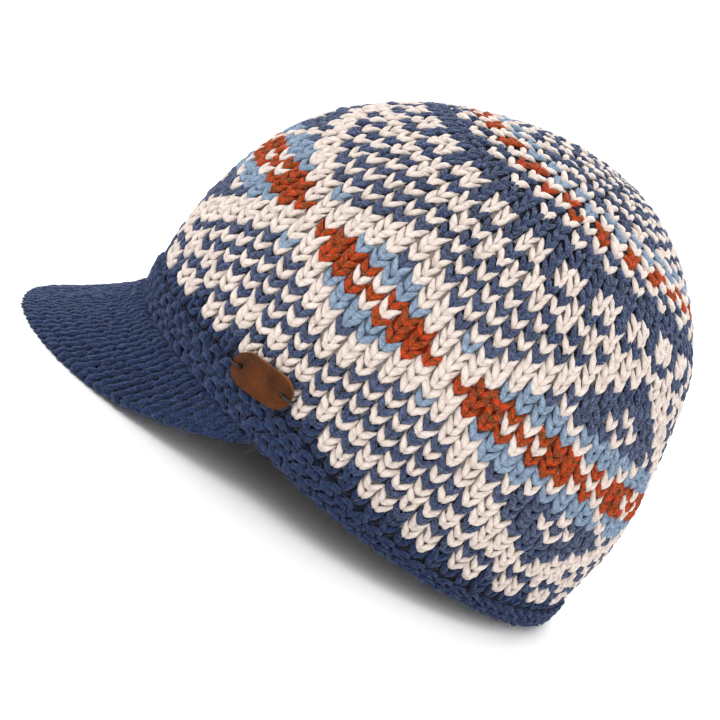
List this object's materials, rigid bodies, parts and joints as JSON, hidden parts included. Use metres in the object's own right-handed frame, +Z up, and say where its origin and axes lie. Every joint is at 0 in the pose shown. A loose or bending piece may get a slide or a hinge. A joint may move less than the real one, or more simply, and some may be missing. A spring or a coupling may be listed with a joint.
{
  "type": "peaked beanie",
  "caption": "Thick knitted winter cap with a traditional diamond pattern in cream, blue and rust, a navy purl band, a short knitted peak and a small bare leather tag",
  "frame": {"origin": "under the middle of the whole cap, on the surface that it rests on", "axes": "+Y from the peak's edge to the back of the head, +X the wearer's left, +Z up"},
  "size_m": [0.1796, 0.24, 0.1552],
  "materials": {
    "patterned_knit": "thick stranded wool knit in cream, navy, denim blue, light blue and rust",
    "navy_knit": "thick navy wool knit",
    "brown_leather": "smooth waxed leather with a cut edge",
    "dark_thread": "waxed sewing thread"
  },
  "bodies": {
    "root": {"crown": "patterned_knit", "headband": "navy_knit", "peak": "navy_knit", "leather_tag": "brown_leather", "tag_stitch_front": "dark_thread", "tag_stitch_back": "dark_thread"}
  },
  "joints": []
}
